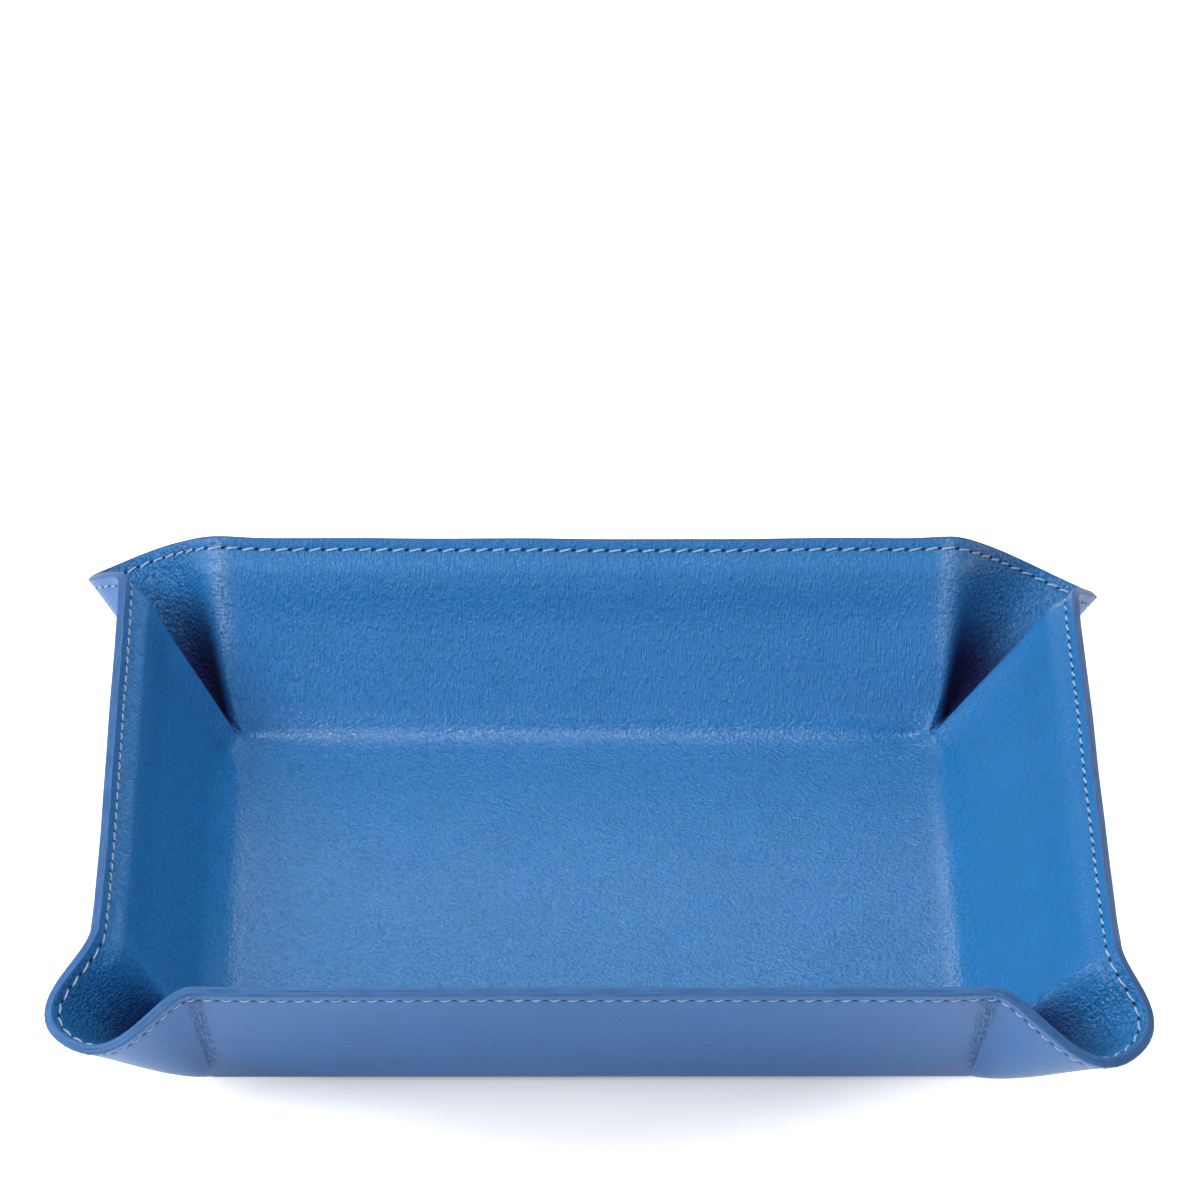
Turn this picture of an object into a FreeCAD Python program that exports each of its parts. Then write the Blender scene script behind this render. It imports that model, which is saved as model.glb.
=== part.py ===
import FreeCAD, Part
import math
import os

# Valet tray: one flat leather sheet, lined, stiffened with thin boards and stitched round its rim,
# then folded up into four leaning walls that pinch into an open loop at each corner.
# Millimetres. X runs left to right, Y front to back, Z up.
# The origin is the middle of the base, on the surface that the tray stands on.

# Base and walls
base_length = 183.0
base_width = 140.5
wall_slant = 51.0
fold_radius = 4.0
front_angle = 58.6
back_angle = 58.3
left_angle = 62.2
right_angle = 52.5
long_rim_flare = 0.8
short_rim_flare = 3.3

# Pinched corners: how far a loop's tip stands from the base corner, then, in degrees, how steeply each loop
# rises and how far it is turned from the diagonal
ear_length = 53.0
front_left_lift = 36.9
front_right_lift = 31.8
back_left_lift = 36.3
back_right_lift = 28.8
front_left_turn = 0.0
front_right_turn = -2.6
back_left_turn = 5.0
back_right_turn = 1.6
long_wall_handle = 8.0
short_wall_handle = 11.0
ear_tip_handle = 18.5
ear_strips = 10

# Leather and boards
outer_thickness = 1.2
inner_thickness = 1.2
board_thickness = 1.1
board_corner_radius = 4.0
board_rim_margin = 7.5
board_fold_margin = 3.0
board_end_margin = 5.0
board_clearance = 0.1
pad_skirt = 2.0
pad_lip = 0.8

# Seam
stitch_inset = 3.0
stitch_pitch = 4.2
stitch_length = 3.1
stitch_width = 0.7
stitch_height = 0.35
stitch_crest_share = 0.6
thread_clearance = 0.12

# Every cut runs this far past the leather
overrun = 0.6

UP = FreeCAD.Vector(0, 0, 1)
diagonal_angle = 45.0


class Wall:
    """One leaning wall: where its fold lies and which way it faces."""

    def __init__(self, name, outward, half, angle, rim_flare, handle):
        self.name = name
        self.outward = outward
        self.half = half
        self.angle = math.radians(angle)
        self.rim_flare = rim_flare
        self.handle = handle
        self.fold_reach = fold_radius * math.tan(self.angle / 2)
        self.flat_half = half - self.fold_reach
        self.upward = outward * math.cos(self.angle) + UP * math.sin(self.angle)
        self.inward_normal = UP * math.cos(self.angle) - outward * math.sin(self.angle)

    def fold_point(self, level, share, end):
        """A point on the fold at the given level, a share of the way round its bend."""
        turn = self.angle * share
        radius = fold_radius - level
        centre = self.outward * self.flat_half + UP * (outer_thickness + fold_radius)
        return centre + self.outward * (radius * math.sin(turn)) - UP * (radius * math.cos(turn)) + end

    def wall_point(self, level, height, end):
        """A point on the flat wall, the given height up its slant from the fold line."""
        fold_line = self.outward * self.half + UP * outer_thickness
        return fold_line + self.upward * height + self.inward_normal * level + end


front = Wall("front", FreeCAD.Vector(0, -1, 0), base_width / 2, front_angle, long_rim_flare, long_wall_handle)
back = Wall("back", FreeCAD.Vector(0, 1, 0), base_width / 2, back_angle, long_rim_flare, long_wall_handle)
left = Wall("left", FreeCAD.Vector(-1, 0, 0), base_length / 2, left_angle, short_rim_flare, short_wall_handle)
right = Wall("right", FreeCAD.Vector(1, 0, 0), base_length / 2, right_angle, short_rim_flare, short_wall_handle)

# Each wall with the walls at its two ends
walls = [(front, left, right), (right, front, back), (back, right, left), (left, back, front)]


class Corner:
    """One pinched corner between a long wall and a short wall."""

    def __init__(self, long_wall, short_wall, lift, turn):
        self.walls = (long_wall, short_wall)
        aim = math.radians(diagonal_angle + turn)
        level_aim = short_wall.outward * math.cos(aim) + long_wall.outward * math.sin(aim)
        slope = math.radians(lift)
        fold_corner = long_wall.outward * long_wall.half + short_wall.outward * short_wall.half
        fold_corner = fold_corner + UP * outer_thickness
        self.tip = fold_corner + (level_aim * math.cos(slope) + UP * math.sin(slope)) * ear_length
        self.tip_tangent = long_wall.outward * math.cos(aim) - short_wall.outward * math.sin(aim)
        self.base_corner = long_wall.outward * long_wall.flat_half + short_wall.outward * short_wall.flat_half

    def poles(self, side):
        """The four poles of the loop's rim from one wall's end to the tip, where the leathers meet."""
        wall = self.walls[side]
        other = self.walls[1 - side]
        along = other.outward
        start = wall.wall_point(0, wall_slant, along * (other.half + wall.rim_flare))
        tangent = self.tip_tangent if side == 0 else self.tip_tangent * -1
        return [start, start + along * wall.handle, self.tip + tangent * ear_tip_handle, self.tip]

    def frame(self, side, share):
        """Rim point, direction along the rim, direction down the leather and inward normal."""
        p0, p1, p2, p3 = self.poles(side)
        rest = 1 - share
        point = p0 * rest ** 3 + p1 * (3 * rest ** 2 * share) + p2 * (3 * rest * share ** 2) + p3 * share ** 3
        along = (p1 - p0) * rest ** 2 + (p2 - p1) * (2 * rest * share) + (p3 - p2) * share ** 2
        along.normalize()
        wall = self.walls[side]
        foot = wall.fold_point(0, 1 - share, self.walls[1 - side].outward * self.walls[1 - side].flat_half)
        down = foot - point
        down.normalize()
        normal = along.cross(down)
        normal.normalize()
        if normal.dot(self.inward(side)) < 0:
            normal = normal * -1
        return point, along, down, normal

    def inward(self, side):
        """A direction that points into the loop all along this half of its rim."""
        return self.walls[side].inward_normal - self.walls[1 - side].outward + UP

    def rim_row(self, side, level):
        """Points along half of the loop's rim at the given level, from the wall's end to the tip."""
        row = []
        for step in range(ear_strips + 1):
            point, _, _, normal = self.frame(side, step / ear_strips)
            row.append(point + normal * level)
        return row

    def foot_row(self, side, level):
        """Points along the end of one wall's fold, from the wall down to the base corner."""
        wall = self.walls[side]
        end = self.walls[1 - side].outward * self.walls[1 - side].flat_half
        return [wall.fold_point(level, 1 - step / ear_strips, end) for step in range(ear_strips + 1)]


corners = [
    Corner(front, left, front_left_lift, front_left_turn),
    Corner(front, right, front_right_lift, front_right_turn),
    Corner(back, right, back_right_lift, back_right_turn),
    Corner(back, left, back_left_lift, back_left_turn),
]


def polygon_face(points):
    return Part.Face(Part.makePolygon(points + points[:1]))


def strip_faces(first, second):
    """Flat facets that join two rows of points, one strip for each step along them."""
    faces = []
    for step in range(len(first) - 1):
        faces.append(polygon_face([first[step], first[step + 1], second[step + 1]]))
        faces.append(polygon_face([first[step], second[step + 1], second[step]]))
    return faces


def wall_rim_ends(wall, first, second, level):
    start = wall.wall_point(level, wall_slant, first.outward * (first.half + wall.rim_flare))
    end = wall.wall_point(level, wall_slant, second.outward * (second.half + wall.rim_flare))
    return start, end


def level_faces(level):
    """The whole folded sheet as one skin, the given distance inside where the leathers meet."""
    base_lift = UP * (outer_thickness + level)
    faces = [polygon_face([corner.base_corner + base_lift for corner in corners])]
    for wall, first, second in walls:
        first_end = first.outward * first.flat_half
        second_end = second.outward * second.flat_half
        for step in range(ear_strips):
            low_share = step / ear_strips
            high_share = (step + 1) / ear_strips
            faces.append(polygon_face([
                wall.fold_point(level, low_share, first_end),
                wall.fold_point(level, low_share, second_end),
                wall.fold_point(level, high_share, second_end),
                wall.fold_point(level, high_share, first_end),
            ]))
        rim_start, rim_end = wall_rim_ends(wall, first, second, level)
        foot_start = wall.fold_point(level, 1, first_end)
        foot_end = wall.fold_point(level, 1, second_end)
        faces.append(polygon_face([foot_start, foot_end, rim_end, rim_start]))
    for corner in corners:
        for side in (0, 1):
            faces += strip_faces(corner.foot_row(side, level), corner.rim_row(side, level))
    return faces


def rim_faces(low, high):
    """The cut edge of the leather all round the rim, between two levels."""
    faces = []
    for wall, first, second in walls:
        low_start, low_end = wall_rim_ends(wall, first, second, low)
        high_start, high_end = wall_rim_ends(wall, first, second, high)
        faces.append(polygon_face([low_start, low_end, high_end, high_start]))
    for corner in corners:
        for side in (0, 1):
            faces += strip_faces(corner.rim_row(side, low), corner.rim_row(side, high))
    return faces


def leather_layer(low, high):
    """A closed sheet of leather between two levels."""
    skin = Part.Compound(level_faces(low) + level_faces(high) + rim_faces(low, high))
    skin.sewShape()
    layer = Part.Solid(skin.Shells[0])
    if layer.Volume < 0:
        layer.reverse()
    return layer


def rounded_outline(middle, along, across, half_length, half_width, radius):
    """A rectangle with round corners, lying in the plane of two directions."""
    edges = []
    quarter = math.pi / 2
    signs = [(1, 1), (-1, 1), (-1, -1), (1, -1)]
    spots = []
    for number, (sign_along, sign_across) in enumerate(signs):
        centre = middle + along * (sign_along * (half_length - radius))
        centre = centre + across * (sign_across * (half_width - radius))
        arc = []
        for share in (0, 0.5, 1):
            turn = quarter * (number + share)
            arc.append(centre + along * (radius * math.cos(turn)) + across * (radius * math.sin(turn)))
        spots.append(arc)
    for number, arc in enumerate(spots):
        edges.append(Part.Arc(*arc).toShape())
        following = spots[(number + 1) % len(spots)]
        edges.append(Part.makeLine(arc[2], following[0]))
    return Part.Wire(edges)


class Board:
    """A stiffening board: its middle where the leathers meet, and its two half sizes."""

    def __init__(self, middle, along, across, normal, half_length, half_width):
        self.middle = middle
        self.along = along
        self.across = across
        self.normal = normal
        self.half_length = half_length
        self.half_width = half_width

    def outline(self, level, growth):
        middle = self.middle + self.normal * level
        radius = board_corner_radius + growth
        return rounded_outline(
            middle, self.along, self.across, self.half_length + growth, self.half_width + growth, radius)

    def solid(self):
        face = Part.Face(self.outline(0, 0))
        return face.extrude(self.normal * board_thickness)

    def pocket(self):
        face = Part.Face(self.outline(-overrun, board_clearance))
        return face.extrude(self.normal * (overrun + board_thickness))

    def pad(self):
        """The leather drawn over the board, with a sloping skirt."""
        foot = self.outline(inner_thickness / 2, pad_lip + pad_skirt)
        crest = self.outline(inner_thickness + board_thickness, pad_lip)
        return Part.makeLoft([foot, crest], True, True)


def wall_board(wall, first, second):
    low = wall.fold_reach + board_fold_margin
    high = wall_slant - board_rim_margin
    start = first.outward * (first.flat_half - board_end_margin)
    end = second.outward * (second.flat_half - board_end_margin)
    middle = wall.wall_point(0, (low + high) / 2, (start + end) / 2)
    along = end - start
    half_length = along.Length / 2
    along.normalize()
    across = wall.inward_normal.cross(along)
    return Board(middle, along, across, wall.inward_normal, half_length, (high - low) / 2)


def base_board():
    low = FreeCAD.Vector(-left.flat_half + board_fold_margin, -front.flat_half + board_fold_margin, outer_thickness)
    high = FreeCAD.Vector(right.flat_half - board_fold_margin, back.flat_half - board_fold_margin, outer_thickness)
    middle = (low + high) / 2
    return Board(
        middle, FreeCAD.Vector(1, 0, 0), FreeCAD.Vector(0, 1, 0), UP, (high.x - low.x) / 2, (high.y - low.y) / 2)


def seam_path(level):
    """Points with their normals into the tray along the stitch line, once round the rim."""
    path = []
    for number, corner in enumerate(corners):
        sides = (0, 1) if number % 2 else (1, 0)
        for turn, side in enumerate(sides):
            steps = range(ear_strips + 1) if turn == 0 else range(ear_strips - 1, -1, -1)
            for step in steps:
                point, _, down, normal = corner.frame(side, step / ear_strips)
                path.append((point + down * stitch_inset + normal * level, normal))
    return path


def along_path(path, distance):
    """The point and normal at a distance along a closed path."""
    for number, (point, normal) in enumerate(path):
        following, following_normal = path[(number + 1) % len(path)]
        run = (following - point).Length
        if distance <= run:
            share = distance / run
            return point + (following - point) * share, normal + (following_normal - normal) * share
        distance -= run
    return path[0]


def stitches(level, facing):
    """The thread that shows on one side of the rim, one low bar for each stitch."""
    path = seam_path(level)
    total = sum((path[(n + 1) % len(path)][0] - path[n][0]).Length for n in range(len(path)))
    count = round(total / stitch_pitch)
    crest_inset = stitch_length * (1 - stitch_crest_share) / 2
    side_inset = stitch_width * (1 - stitch_crest_share) / 2
    bar = Part.makeWedge(
        0, 0, 0, side_inset, crest_inset,
        stitch_length, stitch_height, stitch_width, stitch_width - side_inset, stitch_length - crest_inset)
    bars = []
    for number in range(count):
        middle = total * (number + 0.5) / count
        start, start_normal = along_path(path, middle - stitch_length / 2)
        end, end_normal = along_path(path, middle + stitch_length / 2)
        centre, normal = along_path(path, middle)
        along = end - start
        along.normalize()
        normal = normal * facing
        across = along.cross(normal)
        across.normalize()
        normal = across.cross(along)
        turn = FreeCAD.Rotation(along, normal, across, "XYZ")
        seat = max((spot - centre).dot(normal) for spot in (start, centre, end)) + thread_clearance
        corner = centre + normal * seat - along * (stitch_length / 2) - across * (stitch_width / 2)
        copy = bar.copy()
        copy.Placement = FreeCAD.Placement(corner, turn)
        bars.append(copy)
    return Part.Compound(bars)


def export(name, shape):
    shape.exportStep("parts/" + name + ".step")
    state = "valid" if shape.isValid() else "not valid"
    print(name, len(shape.Solids), "solids", round(shape.Volume, 1), "mm3", state)


os.makedirs("parts", exist_ok=True)

boards = {"base_board": base_board()}
for wall, first, second in walls:
    boards[wall.name + "_wall_board"] = wall_board(wall, first, second)

outer_leather = leather_layer(-outer_thickness, 0)
inner_leather = leather_layer(0, inner_thickness)
for board in boards.values():
    inner_leather = inner_leather.fuse(board.pad())
for board in boards.values():
    inner_leather = inner_leather.cut(board.pocket())

export("outer_leather", outer_leather)
export("inner_leather", inner_leather)
for name, board in boards.items():
    export(name, board.solid())
export("needle_thread", stitches(inner_thickness, 1))
export("bobbin_thread", stitches(-outer_thickness, -1))
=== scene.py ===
import math

import bmesh
import bpy
import numpy as np
from bpy.props import FloatProperty, FloatVectorProperty, IntProperty, IntVectorProperty, PointerProperty
from mathutils import Matrix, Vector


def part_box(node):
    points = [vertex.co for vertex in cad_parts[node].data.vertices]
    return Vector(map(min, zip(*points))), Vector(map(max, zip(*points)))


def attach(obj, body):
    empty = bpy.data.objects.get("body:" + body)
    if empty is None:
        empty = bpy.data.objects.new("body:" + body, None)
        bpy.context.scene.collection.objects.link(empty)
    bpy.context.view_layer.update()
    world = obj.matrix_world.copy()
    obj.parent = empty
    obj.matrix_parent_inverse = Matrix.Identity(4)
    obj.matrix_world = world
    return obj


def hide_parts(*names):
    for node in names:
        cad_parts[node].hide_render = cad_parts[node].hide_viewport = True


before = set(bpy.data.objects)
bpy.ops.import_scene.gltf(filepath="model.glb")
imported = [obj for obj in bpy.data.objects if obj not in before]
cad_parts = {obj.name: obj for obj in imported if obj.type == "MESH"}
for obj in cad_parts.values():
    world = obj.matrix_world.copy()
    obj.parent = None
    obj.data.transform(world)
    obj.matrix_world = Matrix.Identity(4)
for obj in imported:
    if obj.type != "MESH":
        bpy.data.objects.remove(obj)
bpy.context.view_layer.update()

bl_info = {
    "name": "Valet tray",
    "version": (1, 0, 0),
    "blender": (4, 5, 0),
    "location": "View3D > Sidebar > Valet tray",
    "description": "Dresses a folded leather valet tray with its grain, painted rim and seam",
    "category": "Object",
}

BOARD_LOW, BOARD_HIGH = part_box("base_board")
BOARD_NODES = ["base_board", "front_wall_board", "back_wall_board", "left_wall_board", "right_wall_board"]

MM = 0.001
UP = np.array((0.0, 0.0, 1.0))
QUARTER_TURN = math.pi / 2

# Cross section of a cut edge from its grain side to its flesh side: level share, then depth share
EDGE_PROFILE_SHARES = [
    (1.00, 1.00), (0.98, 0.66), (0.92, 0.36), (0.80, 0.16), (0.60, 0.05),
    (0.36, 0.00), (0.16, 0.00), (0.04, 0.03), (0.00, 0.10), (0.00, 1.00),
]

# Waves of the hand-folded rim: how many go round it, their height share and where they start
SWAY_WAVES = [(7, 1.0, 0.6), (13, 0.6, 2.1), (24, 0.4, 4.0)]

# Swells of the leather's faces: radians for each millimetre along x, y and z, and where they start
SLACK_WAVES = [((1 / 11, 1 / 23, 0.0), 0.0), ((-1 / 31, 1 / 9, 0.0), 1.0), ((1 / 17, 0.0, 1 / 7), 2.0)]

# Soft lamps: place, size and power
LAMPS = [
    ("key_softbox", (-0.72, -0.50, 0.72), (0.4, 0.4), 7.2),
    ("top_softbox", (-0.14, 0.08, 1.2), (0.4, 0.2), 4.6),
    ("high_softbox", (-0.10, 0.75, 1.05), (0.8, 0.3), 2.4),
    ("side_softbox", (-1.15, 0.0, 0.38), (0.5, 0.4), 3.0),
    ("left_strip", (-0.55, -1.25, 0.72), (0.12, 0.5), 2.4),
    ("right_strip", (0.55, -1.25, 0.72), (0.12, 0.5), 2.1),
    ("back_softbox", (-0.10, 1.05, 0.74), (0.4, 0.45), 2.8),
    ("rim_softbox", (0.70, 1.08, 0.30), (0.25, 0.2), 0.7),
    ("fill_softbox", (0.95, -0.20, 0.60), (0.5, 0.5), 1.8),
]
LAMP_AIM = (0.0, 0.0, 0.02)
FLOOR_TONE = (0.94, 0.90, 0.84, 1.0)
SHADE_END = 1.6           # where painted light makes the floor all white over any shadow, in shade reaches

# painted highlight: pale specks that stand for glints on the grain
GLINT_HIGHLIGHT_TINT = (0.10, 0.30, 0.60, 1.0)
# painted highlight on the ridges at the walls' ends, partly lighter stretched grain
STRETCH_AND_HIGHLIGHT_TINT = (0.30, 0.42, 0.60, 1.0)
# painted shade deep in the loops' pockets
POCKET_SHADE_TINT = (0.0001, 0.004, 0.09, 1.0)
# painted shade in the needle holes
HOLE_SHADE_TINT = (0.003, 0.008, 0.02, 1.0)
FINE_GRAIN, GLINT_GRAIN, PEBBLE_GRAIN, SOFT_GRAIN = 0.8 * MM, 0.55 * MM, 0.9 * MM, 18.0 * MM
WALL_FOOT = (0.8, 0.93)   # where the walls' grain gives way to the base's, in shares of the slant

JOIN_GAP = 0.002 * MM     # grids are joined where their points lie closer than this
END_CROWDING = 0.85       # how much closer the mesh columns lie towards a wall's ends
BELLY_PEAK = 27 / 4       # brings the highest point of a loop's belly to 1
BELLY_WAY_IN = 1.4        # how soon a loop has its full belly, on the way to its tip
LOOP_GRAIN = 14 * MM      # how far along the rim a loop's own grain takes to set in
BEND_GRAIN = 6 * MM       # how far along the rim the bend at a wall's end works the grain and, on the lining, sets the painted highlight
POCKET_SHADE_DOWN = (0.22, 0.4)   # where the painted shade of a loop starts on the way down, and how long it takes
POCKET_SHADE_IN = 0.3             # how much of the way to a loop's tip that painted shade takes to set in
POCKET_SHADE_FOOT = 5 * MM        # how far above the fold it ends
FREE_ENDS = (0.3, 0.6)    # how much of a half loop stays pushed out at its wall and at its tip
FREE_FOOT = 3 * MM        # how far above the fold it stays so
STITCH_STEPS, THREAD_SIDES = 6, 7     # mesh cells along a stitch and round its thread
NEEDLE_SEED, BOBBIN_SEED = 11, 23


def length(description, millimetres):
    return FloatProperty(description=description, default=millimetres * MM, unit="LENGTH", precision=5)


def angle(description, degrees):
    return FloatProperty(
        description=description, default=math.radians(degrees), subtype="ANGLE", unit="ROTATION")


def lengths(description, *millimetres):
    return FloatVectorProperty(
        description=description, default=[part * MM for part in millimetres], size=len(millimetres),
        unit="LENGTH", precision=5)


def angles(description, *degrees):
    return FloatVectorProperty(
        description=description, default=[math.radians(part) for part in degrees], size=len(degrees),
        unit="ROTATION")


def colour(description, default):
    return FloatVectorProperty(
        description=description, default=default, size=3, min=0.0, max=1.0, subtype="COLOR")


def count(description, default):
    return IntProperty(description=description, default=default, min=1)


class TraySizes(bpy.types.PropertyGroup):
    """Sizes of the folded sheet"""

    base_length: length("From the left fold line to the right one", 183.0)
    base_width: length("From the front fold line to the back one", 140.5)
    wall_slant: length("From a fold line up the wall to its rim", 51.0)
    fold_radius: length("Bend of the sheet where a wall leaves the base", 4.0)
    wall_angles: angles("How far the front, right, back and left walls are folded up", 58.6, 52.5, 58.3, 62.2)
    rim_flares: lengths("How far the long and the short rims run past the base", 0.8, 3.3)
    ear_length: length("From the base corner to a loop's tip", 53.0)
    loop_lifts: angles("Slopes of the loops, from the front left round by the right", 36.9, 31.8, 28.8, 36.3)
    loop_turns: angles("The loops' turns from the diagonal, in that order", 0.0, -2.6, 1.6, 5.0)
    wall_handles: lengths("How gently a loop leaves a long wall and a short wall", 8.0, 11.0)
    ear_tip_handle: length("How round a loop is at its tip", 18.5)
    outer_thickness: length("Thickness of the outer leather", BOARD_LOW.z / MM)
    inner_thickness: length("Thickness of the lining leather", 1.2)
    board_thickness: length("Thickness of the boards", (BOARD_HIGH.z - BOARD_LOW.z) / MM)
    board_rim_margin: length("From the rim to the wall boards", 7.5)
    board_fold_margin: length("From the folds to the boards", 3.0)
    board_end_margin: length("From the loops to the wall boards", 5.0)
    board_corner_radius: length("Corner radius of the boards", 4.0)
    pad_lip: length("How far the lining lies level past a board's edge", 0.3)
    pad_skirt: length("How far the lining takes to come down past a board", 2.6)
    board_gap: length("Room between a board and the leather over it", 0.05)
    lining_rise: length("How far the lining's grain stands up over the boards", 0.85)
    rise_reach: length("How far below the seam the lining takes to stand up", 6.0)
    seam_roll: length("How far the lining rolls up higher just below the seam", 0.7)
    roll_reach: length("How far below the rim band that roll takes to fall back", 12.5)
    panel_hollow: length("How far the lining dips in the middle of a panel", 0.6)
    hollow_reach: length("How far from a fold that dip takes to form", 9.0)
    fold_sheen: length("How far beside a fold the grain is drawn smooth", 5.0)
    loop_fade: length("Length of rim over which the lining's rise fades in the loops", 16.0)
    foot_reach: length("Height over which it comes back at a loop's foot", 9.0)
    crease_radii: lengths("Bend of the lining between the base and the long and the short walls", 11.0, 12.0)
    crease_fade: length("How far from a corner the lining's bend has opened up", 28.0)
    corner_fill: length("How far the lining stays out of the base corners", 4.0)
    corner_reach: length("How far that is felt beside the short walls' ends", 6.0)
    loop_bulge: length("How far a loop bellies out below its rim", 1.6)
    edge_depth: length("How far the rounding of the cut edge reaches down", 0.5)
    rim_rise: length("How far the rim is pushed up where a wall turns into a loop", 0.5)
    rim_rise_reach: length("Length of rim that is pushed up", 7.0)
    rim_sway: length("How far the hand-folded rim wanders", 0.25)
    slack: length("How far the leather's faces swell and dip", 0.1)
    wall_columns: IntVectorProperty(
        description="Mesh cells along a long and a short wall", default=(92, 70), size=2, min=1)
    bend_cells: count("Mesh cells round a fold and along half a loop", 20)
    rim_cells: count("Mesh cells across the band at the rim", 24)
    wall_cells: count("Mesh cells up the rest of a wall", 24)
    rim_band: length("Width of the finely meshed band at the rim", 9.6)


class TraySeam(bpy.types.PropertyGroup):
    """Sizes of the seam round the rim"""

    inset: length("From the rim's edge to the stitch line", 3.0)
    pitch: length("From one needle hole to the next", 4.2)
    stitch_length: length("Length of thread that shows", 3.3)
    thread_width: length("Width of the needle thread, inside", 0.50)
    bobbin_width: length("Width of the bobbin thread, outside", 0.42)
    bobbin_length: length("Length of bobbin thread that shows", 2.6)
    rise: length("How far a stitch stands up in its middle", 0.20)
    dip: length("How far a stitch's ends dive into their holes", 0.30)
    slant: angle("How far each stitch is turned from the seam", 12.0)
    wander: angle("How far single stitches differ from that", 4.0)
    groove_depth: length("How far the thread pulls the leather in", 0.16)
    groove_width: length("Half the width of that groove", 0.7)
    hole_radius: length("Radius of a needle hole", 0.48)


class TrayFinish(bpy.types.PropertyGroup):
    """Colours of the tray"""

    lining: colour("The lining leather's colour", (0.013, 0.172, 0.460))
    outside: colour("The outer leather's colour", (0.026, 0.148, 0.430))
    edge: colour("The paint on the cut edges", (0.034, 0.120, 0.310))
    thread: colour("The seam's thread", (0.42, 0.55, 0.72))
    board: colour("The stiffening boards", (0.34, 0.26, 0.16))


class TrayStage(bpy.types.PropertyGroup):
    """Camera, floor and light"""

    camera_distance: length("From the camera to the middle of the base", 1802.1)
    camera_elevation: angle("How far the camera looks down", 33.04)
    camera_turn: angle("How far the tray is turned in the view", 0.98)
    camera_aside: length("How far the camera stands to the right", 2.43)
    camera_roll: angle("How far the camera is tipped about its axis", 0.54)
    camera_rise: length("How far the camera's axis passes above the base", 74.76)
    lens: FloatProperty(description="Focal length in millimetres", default=221.2)
    sensor: FloatProperty(description="Sensor width in millimetres", default=36.0)
    floor_size: length("Side of the floor", 40000.0)
    floor_gap: length("How far the floor lies under the tray", 0.2)
    floor_white: FloatProperty(description="White that the floor shows even in shade", default=0.28)
    shade_reach: length("How far from the tray's middle the floor keeps its shade", 85.0)
    room_light: FloatProperty(description="Strength of the even light", default=0.14)


def unit(vectors):
    return vectors / np.linalg.norm(vectors, axis=-1, keepdims=True)


def smooth(shares):
    clipped = np.clip(shares, 0.0, 1.0)
    return clipped * clipped * (3.0 - 2.0 * clipped)


def bell(gaps, reach):
    """1 where there is no gap, falling towards 0 beyond the reach."""
    return np.exp(-(gaps / reach) ** 2)


def add_object(name, data):
    made = bpy.data.objects.new(name, data)
    bpy.context.scene.collection.objects.link(made)
    return made


def mix(first, second, shares):
    """Points between two others, shares of the way from the first."""
    return first * (1.0 - shares) + second * shares


class Wall:
    """One leaning wall: where its fold lies and which way it faces."""

    def __init__(self, sizes, outward, half, angle, rim_flare, handle, cells, crease_radius):
        self.sizes = sizes
        self.outward = np.array(outward)
        self.half = half
        self.angle = angle
        self.rim_flare = rim_flare
        self.handle = handle
        self.long = self.outward[0] == 0.0
        self.wear = (sizes.wall_handles[0] / handle) ** 4  # more wear and a stronger painted highlight where a loop leaves its wall tightly
        self.cells = cells
        self.crease_radius = crease_radius
        self.fold_reach = sizes.fold_radius * math.tan(angle / 2)
        self.flat_half = half - self.fold_reach
        self.upward = self.outward * math.cos(angle) + UP * math.sin(angle)
        self.inward_normal = UP * math.cos(angle) - self.outward * math.sin(angle)
        self.fold_line = self.outward * half + UP * sizes.outer_thickness

    def fold_lean(self, bend_share):
        """Direction into the tray, a share of the way round the fold."""
        turn = self.angle * np.asarray(bend_share)[..., None]
        return UP * np.cos(turn) - self.outward * np.sin(turn)

    def fold_point(self, bend_share, end):
        """A point where the leathers meet, a share of the way round the fold."""
        centre = self.outward * self.flat_half + UP * (self.sizes.outer_thickness + self.sizes.fold_radius)
        return centre - self.fold_lean(bend_share) * self.sizes.fold_radius + end

    def rim_point(self, end):
        return self.fold_line + self.upward * self.sizes.wall_slant + end

    def column_shares(self):
        """Shares of the way along the wall, closer together towards its ends."""
        steps = np.linspace(0.0, 1.0, self.cells + 1)
        return (1.0 - END_CROWDING) * steps + END_CROWDING / 2 * (1.0 - np.cos(math.pi * steps))

    def lining_bend(self, from_end):
        """The lining's radius in the fold, a distance from its end, and its tight radius at the end."""
        sizes = self.sizes
        tight = sizes.fold_radius - sizes.inner_thickness - sizes.lining_rise
        return tight + (self.crease_radius - tight) * smooth(from_end / sizes.crease_fade), tight

    def flat_fill(self, from_fold, from_end):
        """How far the lining's open bend stands over the flat wall or base beside the fold."""
        radius, tight = self.lining_bend(from_end)
        reach = (radius - tight) * math.tan(self.angle / 2)
        inside = np.maximum(reach - from_fold, 0.0)
        return radius - np.sqrt(radius ** 2 - inside ** 2)

    def fold_fill(self, bend_share, from_end):
        """How far it stands over the tight bend within the fold."""
        radius, tight = self.lining_bend(from_end)
        apart = (radius - tight) / math.cos(self.angle / 2)
        turn = self.angle * (bend_share - 0.5)
        return tight + apart * np.cos(turn) - np.sqrt(radius ** 2 - (apart * np.sin(turn)) ** 2)


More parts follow.
